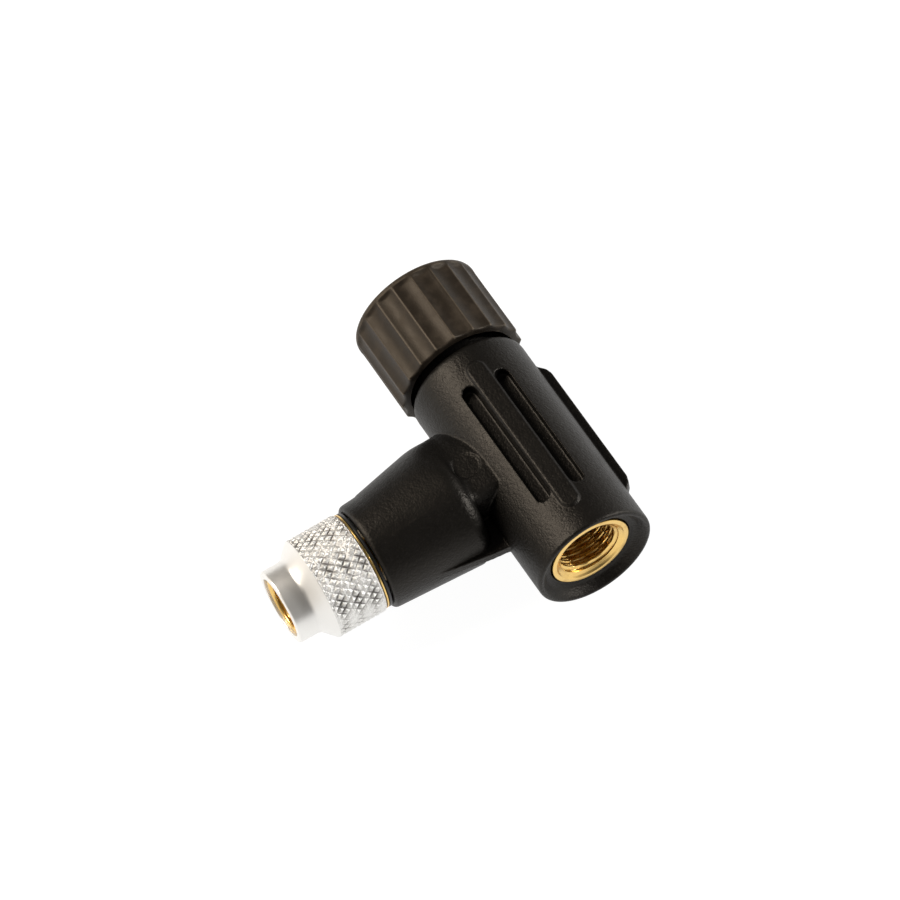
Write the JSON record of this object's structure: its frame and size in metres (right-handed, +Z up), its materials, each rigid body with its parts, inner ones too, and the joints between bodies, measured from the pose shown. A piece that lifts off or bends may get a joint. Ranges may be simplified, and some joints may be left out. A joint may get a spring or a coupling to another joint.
{
  "type": "co2 cartridge tyre inflator head",
  "caption": "T-shaped CO2 inflator head for bicycle tyres, with a threaded brass cartridge socket, a fluted control knob and a swivelling knurled valve chuck.",
  "frame": {"origin": "centre of the bounding box at its bottom face, with the head lying on its side", "axes": "+Z up, square to the plane of the T; +Y along the barrel from the cartridge socket to the knob; -X along the arm towards the valve chuck"},
  "size_m": [0.0522, 0.051, 0.0203],
  "materials": {
    "housing": "satin moulded black",
    "brass": "turned",
    "rubber": "matt",
    "steel": "ground",
    "seat": "plain",
    "knob": "matt moulded warm grey-black",
    "washer": "smooth black acetal",
    "collar": "bright turned with diamond knurl"
  },
  "bodies": {
    "head": {"body_housing": "housing", "cartridge_insert": "brass", "cartridge_gasket": "rubber", "lance_carrier": "brass", "piercing_lance": "steel", "valve_body": "brass", "valve_seat": "seat", "bonnet_nut": "brass", "bonnet_oring": "rubber", "outlet_tube": "brass", "outlet_oring": "rubber", "swivel_oring": "rubber", "retaining_ring": "steel", "thrust_washer": "washer"},
    "plug": {"valve_plug": "brass", "plug_seal": "rubber"},
    "knob": {"control_knob": "knob", "knob_screw": "steel", "valve_spindle": "brass", "spindle_oring": "rubber", "stop_ring": "steel"},
    "chuck": {"chuck_core": "brass", "chuck_collar": "collar", "valve_seal": "rubber", "valve_depressor": "brass"}
  },
  "joints": [
    {"name": "plug_lift", "type": "slide", "parent": "head", "child": "plug", "axis": [0, 1, 0], "range_m": [0, 0.00152]},
    {"name": "knob_turn", "type": "hinge", "parent": "plug", "child": "knob", "pos_m": [0.0155, 0.01855, 0.01013], "axis": [0, 1, 0], "range_deg": [0, 540]},
    {"name": "chuck_turn", "type": "hinge", "parent": "head", "child": "chuck", "pos_m": [-0.0185, -0.00685, 0.01013], "axis": [-1, 0, 0], "continuous": true}
  ],
  "couplings": [
    {"joint": "plug_lift", "follows": "knob_turn", "m_per_rad": 0.00015915}
  ]
}
